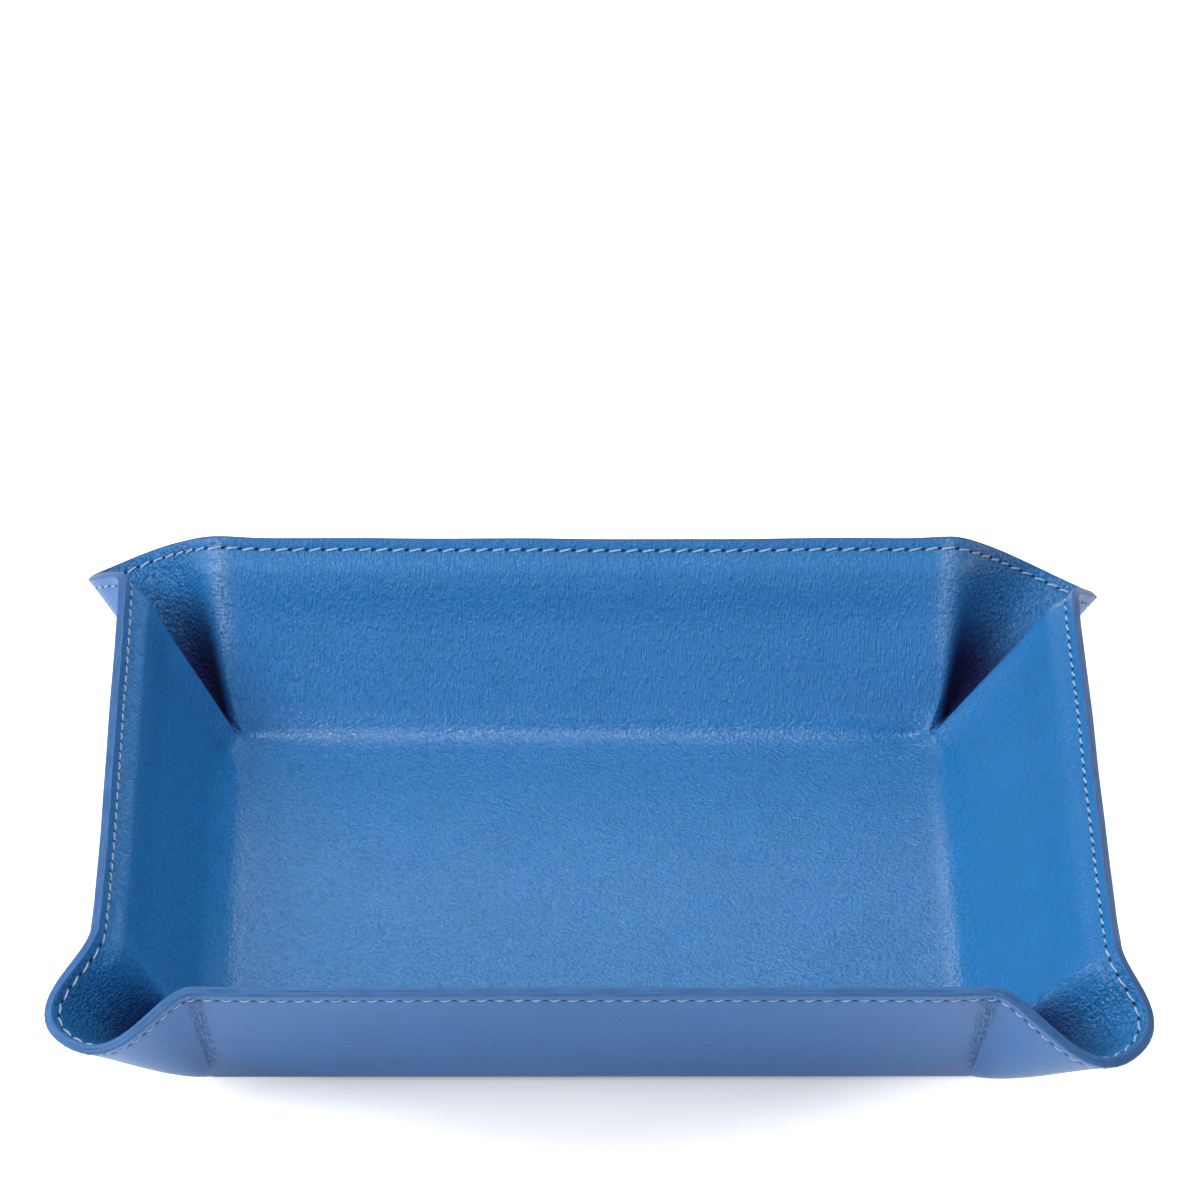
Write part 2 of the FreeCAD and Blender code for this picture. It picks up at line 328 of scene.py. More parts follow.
class Corner:
    """One pinched corner between a long wall and a short wall."""

    def __init__(self, sizes, long_wall, short_wall, lift, turn):
        self.sizes = sizes
        self.walls = (long_wall, short_wall)
        aim = QUARTER_TURN / 2 + turn
        level_aim = short_wall.outward * math.cos(aim) + long_wall.outward * math.sin(aim)
        fold_corner = long_wall.outward * long_wall.half + short_wall.outward * short_wall.half
        slope = level_aim * math.cos(lift) + UP * math.sin(lift)
        self.tip = fold_corner + UP * sizes.outer_thickness + slope * sizes.ear_length
        self.tip_tangent = long_wall.outward * math.cos(aim) - short_wall.outward * math.sin(aim)

    def half_loop(self, side, shares):
        """Rim points, foot points and their directions into the loop, from the wall's end to the tip."""
        wall, other = self.walls[side], self.walls[1 - side]
        start = wall.rim_point(other.outward * (other.half + wall.rim_flare))
        tangent = self.tip_tangent * (1 - 2 * side)
        tip_pole = self.tip + tangent * self.sizes.ear_tip_handle
        poles = [start, start + other.outward * wall.handle, tip_pole, self.tip]
        step = shares[:, None]
        rest = 1.0 - step
        weights = [rest ** 3, 3 * rest ** 2 * step, 3 * rest * step ** 2, step ** 3]
        rim = sum(weight * pole for weight, pole in zip(weights, poles))
        slopes = [rest ** 2, 2 * rest * step, step ** 2]
        along = unit(sum(weight * (poles[n + 1] - poles[n]) for n, weight in enumerate(slopes)))
        foot = wall.fold_point(1.0 - shares, other.outward * other.flat_half)
        lean = unit(np.cross(along, unit(foot - rim)))
        inward = wall.inward_normal - other.outward + UP
        lean = np.where((lean @ inward)[:, None] < 0.0, -lean, lean)
        return rim, foot, lean, wall.fold_lean(1.0 - shares)


class RimStrip:
    """A stretch of the sheet that hangs from the rim: a wall, or half of a loop."""

    def __init__(self, rim, foot, rim_lean, foot_lean, start_run, hung_from):
        self.long = hung_from.long
        self.wear = hung_from.wear
        self.rim = rim
        self.foot = foot
        self.rim_lean = rim_lean
        self.foot_lean = foot_lean
        steps = np.linalg.norm(np.diff(rim, axis=0), axis=1)
        self.run = start_run + np.concatenate([[0.0], np.cumsum(steps)])
        self.drop = np.linalg.norm(foot - rim, axis=1)
        self.wall = None
        self.ends = None
        self.from_end = None


class Tray:
    """The folded sheet: its four walls, its four corners and the strips round its rim."""

    def __init__(self, sizes):
        self.sizes = sizes
        half_width, half_length = sizes.base_width / 2, sizes.base_length / 2
        long_rim, short_rim = zip(
            sizes.rim_flares, sizes.wall_handles, sizes.wall_columns, sizes.crease_radii)
        front, right, back, left = sizes.wall_angles
        self.front = Wall(sizes, (0.0, -1.0, 0.0), half_width, front, *long_rim)
        self.right = Wall(sizes, (1.0, 0.0, 0.0), half_length, right, *short_rim)
        self.back = Wall(sizes, (0.0, 1.0, 0.0), half_width, back, *long_rim)
        self.left = Wall(sizes, (-1.0, 0.0, 0.0), half_length, left, *short_rim)
        ring = [self.front, self.right, self.back, self.left]
        self.walls = [(wall, ring[number - 1], ring[(number + 1) % 4]) for number, wall in enumerate(ring)]
        long_walls = (self.front, self.front, self.back, self.back)
        short_walls = (self.left, self.right, self.right, self.left)
        loops = zip(long_walls, short_walls, sizes.loop_lifts, sizes.loop_turns)
        self.corners = [Corner(sizes, *loop) for loop in loops]
        self.strips = self.rim_strips()
        self.rim_length = self.strips[-1].run[-1]
        self.creases = [strip.run[end] for strip in self.strips if strip.wall for end in (0, -1)]
        for strip in self.strips:
            self.sway_rim(strip)

    def rim_strips(self):
        """The strips in their order round the rim, from the left wall's front end."""
        strips = []
        run = 0.0
        shares = np.linspace(0.0, 1.0, self.sizes.bend_cells + 1)
        for number, corner in enumerate(self.corners):
            sides = (0, 1) if number % 2 else (1, 0)
            halves = [corner.half_loop(sides[0], shares)]
            halves.append([points[::-1] for points in corner.half_loop(sides[1], shares)])
            for side, half in zip(sides, halves):
                strips.append(RimStrip(*half, run, corner.walls[side]))
                run = strips[-1].run[-1]
            strips.append(self.wall_strip(*self.walls[number], run))
            run = strips[-1].run[-1]
        return strips

    def wall_strip(self, wall, first, second, run):
        shares = wall.column_shares()[:, None]
        rim_ends = [wall.rim_point(end.outward * (end.half + wall.rim_flare)) for end in (first, second)]
        foot_ends = [wall.fold_point(1.0, end.outward * end.flat_half) for end in (first, second)]
        lean = np.tile(wall.inward_normal, (wall.cells + 1, 1))
        strip = RimStrip(mix(*rim_ends, shares), mix(*foot_ends, shares), lean, lean, run, wall)
        strip.wall = wall
        strip.ends = (first, second)
        strip.from_end = np.minimum(shares, 1.0 - shares)[:, 0] * np.linalg.norm(foot_ends[1] - foot_ends[0])
        return strip

    def crease_distance(self, run):
        """How far along the rim the nearest end of a wall is."""
        gaps = [np.abs((run - crease + self.rim_length / 2) % self.rim_length - self.rim_length / 2)
                for crease in self.creases]
        return np.min(gaps, axis=0)

    def sway_rim(self, strip):
        """The rim wanders a little up and down, and stands up where a wall turns into a loop."""
        sizes = self.sizes
        turn = 2 * math.pi * strip.run / self.rim_length
        sway = sum(height * np.sin(number * turn + start) for number, height, start in SWAY_WAVES)
        rise = sizes.rim_rise * bell(self.crease_distance(strip.run), sizes.rim_rise_reach)
        lift = sizes.rim_sway * sway / 2 + rise
        strip.rim = strip.rim + unit(strip.rim - strip.foot) * lift[:, None]
        strip.drop = np.linalg.norm(strip.foot - strip.rim, axis=1)

    def row_shares(self):
        """Shares of the way from the rim down to the fold, close together at both ends."""
        sizes = self.sizes
        start = sizes.edge_depth / sizes.wall_slant
        band = sizes.rim_band / sizes.wall_slant
        close = np.linspace(start, band, sizes.rim_cells + 1)
        wide = band + (1.0 - band) * np.sin(np.linspace(0.0, QUARTER_TURN, sizes.wall_cells + 1))
        return np.concatenate([close, wide[1:]])

    def pad_share(self, along, across, half_along, half_across):
        """1 over a board, falling to 0 past its edge."""
        sizes = self.sizes
        radius = sizes.board_corner_radius
        gap_along = np.abs(along) - (half_along - radius)
        gap_across = np.abs(across) - (half_across - radius)
        outside = np.hypot(np.maximum(gap_along, 0.0), np.maximum(gap_across, 0.0))
        outside = outside + np.minimum(np.maximum(gap_along, gap_across), 0.0) - radius
        return 1.0 - smooth((outside - sizes.pad_lip) / sizes.pad_skirt)

    def strip_rise(self, strip, drop):
        """The lining's rise: none at the rim, rolled up below the seam and fading in the loops."""
        sizes = self.sizes
        start = bpy.context.scene.tray_seam.inset
        rise_share = smooth((drop - start) / sizes.rise_reach)
        roll = sizes.seam_roll * rise_share * (1.0 - smooth((drop - sizes.rim_band) / sizes.roll_reach))
        if strip.wall:
            return sizes.lining_rise * rise_share + roll
        loop_share = smooth(self.crease_distance(strip.run) / sizes.loop_fade)
        rise_share = rise_share * (1.0 - loop_share * smooth((strip.drop - drop) / sizes.foot_reach))
        return sizes.lining_rise * rise_share + roll * (1.0 - loop_share)

    def corner_push(self, points):
        """How far the lining is held off along the short walls' ends, most of all at the base corners."""
        sizes = self.sizes
        push = np.zeros(points.shape)
        for corner in self.corners:
            long_wall, short_wall = corner.walls
            foot = short_wall.fold_line + long_wall.outward * long_wall.half
            crease = short_wall.rim_point(long_wall.outward * (long_wall.half + short_wall.rim_flare)) - foot
            way_up = np.clip((points - foot) @ crease / (crease @ crease), 0.0, 1.0)[..., None]
            gap = np.linalg.norm(points - foot - way_up * crease, axis=-1, keepdims=True)
            near = bell(gap, sizes.corner_reach)
            push += short_wall.inward_normal * (sizes.corner_fill * (1.0 - way_up) * near)
        return push

    def hollow(self, from_fold):
        """How far the lining dips, a distance from the nearest fold."""
        return self.sizes.panel_hollow * (1.0 - bell(from_fold, self.sizes.hollow_reach))

    def base_ends(self, x, y):
        """Distances from the nearer short fold and from the nearer long fold of the base."""
        ends_x = np.minimum(x + self.left.flat_half, self.right.flat_half - x)
        ends_y = np.minimum(y + self.front.flat_half, self.back.flat_half - y)
        return ends_x, ends_y

    def base_fill(self, x, y):
        """How far the lining's open bends stand over the base."""
        ends_x, ends_y = self.base_ends(x, y)
        fills = [
            self.front.flat_fill(y + self.front.flat_half, ends_x),
            self.back.flat_fill(self.back.flat_half - y, ends_x),
            self.left.flat_fill(x + self.left.flat_half, ends_y),
            self.right.flat_fill(self.right.flat_half - x, ends_y),
        ]
        return np.max(np.broadcast_arrays(*fills), axis=0)

    def wall_pad(self, strip, points):
        sizes = self.sizes
        wall = strip.wall
        start, end = [end.outward * (end.flat_half - sizes.board_end_margin) for end in strip.ends]
        low = wall.fold_reach + sizes.board_fold_margin
        high = sizes.wall_slant - sizes.board_rim_margin
        middle = wall.fold_line + wall.upward * ((low + high) / 2) + (start + end) / 2
        offset = points - middle
        half_along = np.linalg.norm(end - start) / 2
        return self.pad_share(offset @ unit(end - start), offset @ wall.upward, half_along, (high - low) / 2)

    def base_pad(self, points):
        margin = self.sizes.board_fold_margin
        low = np.array((-self.left.flat_half + margin, -self.front.flat_half + margin))
        high = np.array((self.right.flat_half - margin, self.back.flat_half - margin))
        offset = points[..., :2] - (low + high) / 2
        half = (high - low) / 2
        return self.pad_share(offset[..., 0], offset[..., 1], half[0], half[1])


class Skin:
    """Gathers grids of points into one closed mesh."""

    def __init__(self):
        self.points, self.faces, self.maps, self.slots = [], [], [], []
        self.marks = {"fold": [], "bend": [], "loop": [], "pocket_shade": []}
        self.total = 0

    def add(self, points, facing, run, drop, fold, bend=0.0, loop=0.0, pocket_shade=0.0, edge_rows=None):
        """Adds a grid whose first face looks along facing; edge_rows are its rows of painted edge."""
        rows, columns = points.shape[:2]
        index = self.total + np.arange(rows * columns).reshape(rows, columns)
        corners = [index[:-1, :-1], index[:-1, 1:], index[1:, 1:], index[1:, :-1]]
        middle = (columns - 1) // 2
        across = points[0, middle + 1] - points[0, middle]
        down = points[1, middle] - points[0, middle]
        if np.dot(np.cross(across, down), facing) < 0.0:
            corners.reverse()
        faces = np.stack(corners, axis=-1)
        grid_map = np.stack([np.broadcast_to(part, (rows, columns)) for part in (run, drop)], axis=-1)
        grid_map = grid_map.reshape(-1, 2)
        self.maps.append(grid_map[faces.reshape(-1) - self.total])
        slots = np.zeros(faces.shape[:2], dtype=np.int32)
        if edge_rows:
            slots[edge_rows[0]:edge_rows[1]] = 1
        self.slots.append(slots.reshape(-1))
        self.points.append(points.reshape(-1, 3))
        self.faces.append(faces.reshape(-1, 4))
        for name, mark in (("fold", fold), ("bend", bend), ("loop", loop), ("pocket_shade", pocket_shade)):
            self.marks[name].append(np.broadcast_to(mark, (rows, columns)).reshape(-1))
        self.total += rows * columns

    def build(self, name, materials):
        """Makes the object, with its grids joined where they meet."""
        mesh = bpy.data.meshes.new(name)
        mesh.from_pydata(np.concatenate(self.points).tolist(), [], np.concatenate(self.faces).tolist())
        rim_map = np.concatenate(self.maps).astype(np.float32).ravel()
        mesh.uv_layers.new(name="rim").data.foreach_set("uv", rim_map)
        mesh.polygons.foreach_set("material_index", np.concatenate(self.slots))
        for mark, values in self.marks.items():
            attribute = mesh.attributes.new(mark, "FLOAT", "POINT")
            attribute.data.foreach_set("value", np.concatenate(values).astype(np.float32))
        for material in materials:
            mesh.materials.append(material)
        joined = bmesh.new()
        joined.from_mesh(mesh)
        bmesh.ops.remove_doubles(joined, verts=joined.verts, dist=JOIN_GAP)
        loose = [edge.verts[0].co / MM for edge in joined.edges if not edge.is_manifold]
        joined.to_mesh(mesh)
        joined.free()
        if loose:
            raise RuntimeError(f"{name} is not closed: {len(loose)} open edges, at {loose[:4]}")
        mesh.polygons.foreach_set("use_smooth", [True] * len(mesh.polygons))
        return add_object(name, mesh)


def slack_waves(points, depth):
    """Slow swells and dips over the leather's face."""
    waves = [np.sin(points @ np.array(way) / MM + start) for way, start in SLACK_WAVES]
    return depth * sum(waves) / len(waves)


def leather_sheet(name, materials, facing, thickness, rises):
    """One leather as a closed sheet; facing is 1 where its grain side looks into the tray."""
    scene = bpy.context.scene
    sizes, seam = scene.tray_sizes, scene.tray_seam
    tray = Tray(sizes)
    skin = Skin()
    rows = tray.row_shares()
    level_shares, depth_shares = np.array(EDGE_PROFILE_SHARES).T
    edge_shares = depth_shares[1:-1] * rows[0]
    shares = np.concatenate([rows[::-1], edge_shares, rows])
    levels = np.concatenate([np.ones(len(rows)), level_shares[1:-1], np.zeros(len(rows))])
    grain_rows = len(rows)
    hidden_start = grain_rows + len(edge_shares)

    board_room = sizes.board_thickness + sizes.board_gap if rises else 0.0

    for strip in tray.strips:
        points = mix(strip.rim, strip.foot, shares[:, None, None])
        lean = mix(strip.rim_lean, strip.foot_lean, shares[:, None, None])
        drop = shares[:, None] * strip.drop
        above_fold = strip.drop - drop
        crease = tray.crease_distance(strip.run)
        level = np.tile(levels[:, None] * thickness, (1, points.shape[1]))
        groove = seam.groove_depth * bell(drop - seam.inset, seam.groove_width)
        fade = smooth(drop / sizes.rim_band) * smooth(above_fold / sizes.rim_band)
        relief = slack_waves(points, sizes.slack) * fade - groove
        if rises:
            relief += tray.strip_rise(strip, drop)
        loop, pocket_shade, held = 0.0, 0.0, np.ones(drop.shape)
        if strip.wall:
            level[hidden_start:] += board_room * tray.wall_pad(strip, points)[hidden_start:]
            if rises:
                dip = smooth((drop - sizes.rim_band) / sizes.roll_reach) * tray.hollow(above_fold)
                relief += strip.wall.flat_fill(above_fold, strip.from_end)
                relief -= dip * smooth(strip.from_end / sizes.loop_fade)
        else:
            way_in = crease / crease.max()
            loop = smooth(crease / LOOP_GRAIN)
            belly = BELLY_PEAK * shares ** 2 * (1.0 - shares)
            bulge = sizes.loop_bulge * belly[:, None] * smooth(way_in * BELLY_WAY_IN)
            points = points - lean * bulge[..., None]
            if rises:
                # painted shade, darkest low in a loop away from its wall, fading just above the fold
                start, span = POCKET_SHADE_DOWN
                pocket_shade = smooth((shares - start) / span)[:, None] * smooth(way_in / POCKET_SHADE_IN)
                pocket_shade = pocket_shade * smooth(above_fold / POCKET_SHADE_FOOT)
                if strip.long:
                    tip_run = strip.run[0] if crease[0] > crease[-1] else strip.run[-1]
                    from_tip = np.abs(strip.run - tip_run) / (strip.run[-1] - strip.run[0])
                    at_wall, at_tip = FREE_ENDS
                    free = smooth((1.0 - from_tip) / at_wall) * smooth(from_tip / at_tip)
                    held -= free * smooth(above_fold / FREE_FOOT)
        level[:grain_rows] += relief[:grain_rows]
        bend = bell(crease, BEND_GRAIN)
        map_drop = drop.copy()
        across = (level_shares[1:-1] - 1.0) * thickness
        map_drop[grain_rows:hidden_start] = across[:, None]
        points = points + lean * (level * facing)[..., None]
        if rises:
            # the long walls' ends get more wear and a stronger painted highlight than the short walls' ends
            bend = bend * strip.wear
            points[:grain_rows] += tray.corner_push(points[:grain_rows]) * held[:grain_rows, :, None]
        fold = bell(above_fold, sizes.fold_sheen)
        skin.add(
            points, lean[0, points.shape[1] // 2] * facing,
            strip.run, map_drop, fold, bend, loop, pocket_shade, (grain_rows - 1, hidden_start))

    for strip in tray.strips:
        if not strip.wall:
            continue
        wall = strip.wall
        bend_shares = np.linspace(1.0, 0.0, sizes.bend_cells + 1)[:, None]
        row = mix(*[end.outward * end.flat_half for end in strip.ends], wall.column_shares()[:, None])
        points = wall.fold_point(bend_shares[:, 0], 0.0)[:, None] + row[None]
        lean = np.repeat(wall.fold_lean(bend_shares[:, 0])[:, None], wall.cells + 1, axis=1)
        drop = strip.drop[None] + (1.0 - bend_shares) * wall.angle * sizes.fold_radius
        grain = np.full(drop.shape, thickness)
        if rises:
            grain += sizes.lining_rise + wall.fold_fill(bend_shares, strip.from_end)
        face = points + lean * (grain * facing)[..., None]
        if rises:
            face += tray.corner_push(face)
        skin.add(face, lean[0, 0] * facing, strip.run, drop, 1.0)
        skin.add(points, -lean[0, 0] * facing, strip.run, drop, 1.0)

    span_x, span_y = tray.left.flat_half + tray.right.flat_half, tray.front.flat_half + tray.back.flat_half
    x = tray.front.column_shares()[None] * span_x - tray.left.flat_half
    y = tray.left.column_shares()[:, None] * span_y - tray.front.flat_half
    points = np.stack(np.broadcast_arrays(x, y, sizes.outer_thickness), axis=-1)
    pad = board_room * tray.base_pad(points)
    grain = np.full(pad.shape, thickness)
    from_fold = np.minimum(*tray.base_ends(x, y))
    if rises:
        grain += slack_waves(points, sizes.slack) * smooth(from_fold / sizes.rim_band)
        grain += sizes.lining_rise + tray.base_fill(x, y) - tray.hollow(from_fold)
    floor_drop = 2 * sizes.wall_slant
    fold = bell(from_fold, sizes.fold_sheen)
    face = points + UP * (grain * facing)[..., None]
    if rises:
        face += tray.corner_push(face)
    skin.add(face, UP * facing, x, floor_drop, fold)
    skin.add(points + UP * (pad * facing)[..., None], -UP * facing, x, floor_drop, fold)
    return skin.build(name, materials)


def arithmetic(operation, swapped=False):
    """A method of Signal that adds a Math node."""
    def apply(self, other=0.0):
        first, second = (other, self) if swapped else (self, other)
        sockets = {"Value": first, "Value_001": second}
        return self.graph.node("ShaderNodeMath", sockets, "Value", operation=operation)
    return apply


class Signal:
    """An output of a node. Plain arithmetic on it adds Math nodes."""

    __add__ = __radd__ = arithmetic("ADD")
    __sub__ = arithmetic("SUBTRACT")
    __rsub__ = arithmetic("SUBTRACT", swapped=True)
    __mul__ = __rmul__ = arithmetic("MULTIPLY")
    __truediv__ = arithmetic("DIVIDE")
    __pow__ = arithmetic("POWER")
    fraction = arithmetic("FRACT")

    def __init__(self, graph, socket):
        self.graph = graph
        self.socket = socket

    def between(self, low, high):
        """0 below low, 1 above high and smooth between them."""
        sockets = {"Value": self, "From Min": low, "From Max": high}
        return self.graph.node("ShaderNodeMapRange", sockets, "Result", interpolation_type="SMOOTHSTEP")


class Graph:
    """A node tree that is being built."""

    def __init__(self, tree):
        self.tree = tree

    def node(self, kind, sockets=None, output=None, **settings):
        """Adds a node: its settings first, then its sockets' values and links."""
        made = self.tree.nodes.new(kind)
        for name, value in settings.items():
            setattr(made, name, value)
        for name, value in (sockets or {}).items():
            socket = self.socket(made.inputs, name)
            if isinstance(value, Signal):
                self.tree.links.new(value.socket, socket)
            else:
                socket.default_value = value
        return Signal(self, self.socket(made.outputs, output)) if output else made

    @staticmethod
    def socket(sockets, name):
        for socket in sockets:
            if socket.identifier == name:
                return socket
        return sockets[name]

    def blend(self, factor, first, second):
        """A colour between two colours."""
        sockets = {"Factor_Float": factor, "A_Color": first, "B_Color": second}
        return self.node("ShaderNodeMix", sockets, "Result_Color", data_type="RGBA")

    def vector(self, x, y, z=0.0):
        return self.node("ShaderNodeCombineXYZ", {"X": x, "Y": y, "Z": z}, "Vector")

    def distance(self, vector):
        return self.node("ShaderNodeVectorMath", {"Vector": vector}, "Value", operation="LENGTH")

    def noise(self, vector, size=1.0, detail=2.0, roughness=0.5):
        sockets = {"Vector": vector, "Scale": 1.0 / size, "Detail": detail, "Roughness": roughness}
        return self.node("ShaderNodeTexNoise", sockets, "Fac")

    def cells(self, vector, size):
        return self.node("ShaderNodeTexVoronoi", {"Vector": vector, "Scale": 1.0 / size}, "Distance")

    def mark(self, name):
        return self.node("ShaderNodeAttribute", None, "Fac", attribute_name=name)

    def object_place(self):
        return self.node("ShaderNodeTexCoord", None, "Object")

    def rim_place(self):
        """Distance along the rim and distance down from it."""
        place = self.node("ShaderNodeUVMap", None, "UV", uv_map="rim")
        parts = self.node("ShaderNodeSeparateXYZ", {"Vector": place})
        return Signal(self, parts.outputs["X"]), Signal(self, parts.outputs["Y"])

    def along_rim(self, place, run_size, drop_size, layer=0.0):
        """A place at the rim, counted in grains of these sizes in millimetres."""
        run, drop = place
        return self.vector(run * (1.0 / (run_size * MM)), drop * (1.0 / (drop_size * MM)), layer)


def new_material(name):
    material = bpy.data.materials.new(name)
    material.use_nodes = True
    material.node_tree.nodes.clear()
    return material, Graph(material.node_tree)


def surface(graph, sockets, height, depth):
    """Ends a material in one surface, with its relief."""
    sockets["Normal"] = graph.node("ShaderNodeBump", {"Height": height, "Distance": depth}, "Normal")
    shader = graph.node("ShaderNodeBsdfPrincipled", sockets, "BSDF")
    graph.node("ShaderNodeOutputMaterial", {"Surface": shader})


def opaque(values, factor=1.0):
    return tuple(min(1.0, value * factor) for value in values) + (1.0,)


def leather_material(name, tone, pitch, grain, stretched):
    """Smooth calf leather with needle holes in painted shade and grain with painted glint highlights; its
    creases are stretched open, with a painted highlight on the ridges and painted shade deep in the loops, or
    tucked together, with painted shade in the tucks.
    """
    seam = bpy.context.scene.tray_seam
    slant = bpy.context.scene.tray_sizes.wall_slant
    material, graph = new_material(name)
    place, rim = graph.object_place(), graph.rim_place()
    run, drop = rim
    fold, bend, loop, pocket_shade = [graph.mark(mark) for mark in ("fold", "bend", "loop", "pocket_shade")]
    wall = 1.0 - drop.between(*[part * slant for part in WALL_FOOT])

    def streaks(run_size, drop_size):
        return graph.noise(graph.along_rim(rim, run_size, drop_size), roughness=0.6)

    fine = graph.noise(place, FINE_GRAIN, roughness=0.6)
    glint = graph.noise(place, GLINT_GRAIN, detail=1.0).between(0.48, 0.68)
    pebbles = graph.cells(place, PEBBLE_GRAIN)
    soft = graph.noise(place, SOFT_GRAIN)
    drawn = streaks(0.6, 2.6).between(0.48, 0.72) * wall

    hole_gap = ((run / pitch + 0.5).fraction() - 0.5) * pitch
    away = drop - seam.inset
    hole_distance = graph.distance(graph.vector(hole_gap * 0.75 - away * 0.35, away * 1.2))
    hole = 1.0 - (hole_distance + fine * (0.2 * MM)).between(0.6 * seam.hole_radius, 1.3 * seam.hole_radius)

    height = fine * (2.0 - 1.2 * wall - 1.1 * fold) * grain
    height = height - pebbles * (0.5 - 0.3 * wall - 0.3 * fold + 1.6 * loop) * grain
    height = height + drawn * (0.8 * grain) - hole * 3.0
    tint = graph.blend(soft.between(0.3, 0.7), opaque(tone, 0.97), opaque(tone, 1.03))
    # painted highlight: pale glint specks, strongest on the base and weaker on the walls and folds
    tint = graph.blend(glint * (1.3 - wall - fold * 0.6) * (0.42 * grain), tint, GLINT_HIGHLIGHT_TINT)
    specks = pebbles.between(0.4, 0.8) * (0.45 - 0.33 * wall + 0.43 * loop)
    tint = graph.blend(specks * grain, tint, opaque(tone, 0.5))
    tint = graph.blend(drawn * (0.18 * grain), tint, opaque(tone, 1.6))
    roughness = 0.34 - glint * (0.1 * grain) - fold * 0.1 + hole * 0.3
    if stretched:
        pucker = streaks(1.2, 0.9)
        upper = 1.0 - drop.between(0.4 * slant, 0.75 * slant)
        ridge = (bend ** 6.0) * upper
        height = height + pucker * ridge * 1.5
        # painted highlight along the ridges at the walls' ends, mixed with lighter stretched grain; it fades
        # towards the bottom
        tint = graph.blend(ridge * pucker.between(0.35, 0.65) * 0.5, tint, STRETCH_AND_HIGHLIGHT_TINT)
        # painted shade in the loops' pockets, made dull as well
        tint = graph.blend(pocket_shade, tint, POCKET_SHADE_TINT)
        roughness = roughness + pocket_shade * 0.5
    else:
        tucks = streaks(0.5, 2.4).between(0.48, 0.62) * (bend ** 8.0) * wall
        height = height - tucks * 1.6
        # painted shade in the tucked wrinkles at the outside's creases, beside their real relief
        tint = graph.blend(tucks * 0.5, tint, opaque(tone, 0.4))
        roughness = roughness + 0.06
    # painted shade: the needle holes are darkened
    tint = graph.blend(hole * 0.95, tint, HOLE_SHADE_TINT)
    gloss = 0.45 if stretched else 0.25
    sockets = {"Base Color": tint, "Roughness": roughness, "Specular IOR Level": gloss}
    surface(graph, sockets, height, depth=0.25 * MM)
    return material


def edge_material():
    """Paint on the cut edge, brushed along the rim in a few coats."""
    material, graph = new_material("edge_paint")
    rim = graph.rim_place()
    tone = bpy.context.scene.tray_finish.edge
    brushed = graph.noise(graph.along_rim(rim, 9.0, 0.35), detail=3.0)
    blotch = graph.noise(graph.along_rim(rim, 2.2, 1.6, layer=3.0))
    tint = graph.blend(brushed.between(0.3, 0.7), opaque(tone, 0.8), opaque(tone, 1.2))
    tint = graph.blend(blotch.between(0.55, 0.75) * 0.35, tint, opaque(tone, 1.5))
    sockets = {"Base Color": tint, "Roughness": 0.42 + blotch * 0.16, "Specular IOR Level": 0.3}
    surface(graph, sockets, brushed + blotch * 0.6, depth=0.08 * MM)
    return material


def thread_material():
    """Twisted thread with a soft lustre."""
    material, graph = new_material("seam_thread")
    place = graph.object_place()
    tone = bpy.context.scene.tray_finish.thread
    fibres = graph.noise(place, 0.25 * MM, detail=3.0)
    shade = graph.noise(place, 5.0 * MM, detail=1.0)
    tint = graph.blend(fibres.between(0.3, 0.7), opaque(tone, 0.72), opaque(tone, 1.12))
    tint = graph.blend(shade.between(0.45, 0.75) * 0.4, tint, opaque(tone, 0.6))
    surface(graph, {"Base Color": tint, "Roughness": 0.5 + fibres * 0.2}, fibres, depth=0.05 * MM)
    return material


def board_material():
    """Grey-brown fibre board."""
    material, graph = new_material("fibre_board")
    place = graph.object_place()
    tone = bpy.context.scene.tray_finish.board
    strands = [1.0 / (size * MM) for size in (6.0, 1.2, 0.4)]
    laid = graph.node("ShaderNodeMapping", {"Vector": place, "Scale": strands}, "Vector")
    fibres = graph.noise(laid, detail=4.0)
    specks = graph.cells(place, 3.0 * MM)
    tint = graph.blend(fibres.between(0.3, 0.7), opaque(tone, 0.75), opaque(tone, 1.2))
    tint = graph.blend(1.0 - specks.between(0.08, 0.16), tint, opaque(tone, 0.45))
    surface(graph, {"Base Color": tint, "Roughness": 0.8 + fibres * 0.12}, fibres, depth=0.1 * MM)
    return material


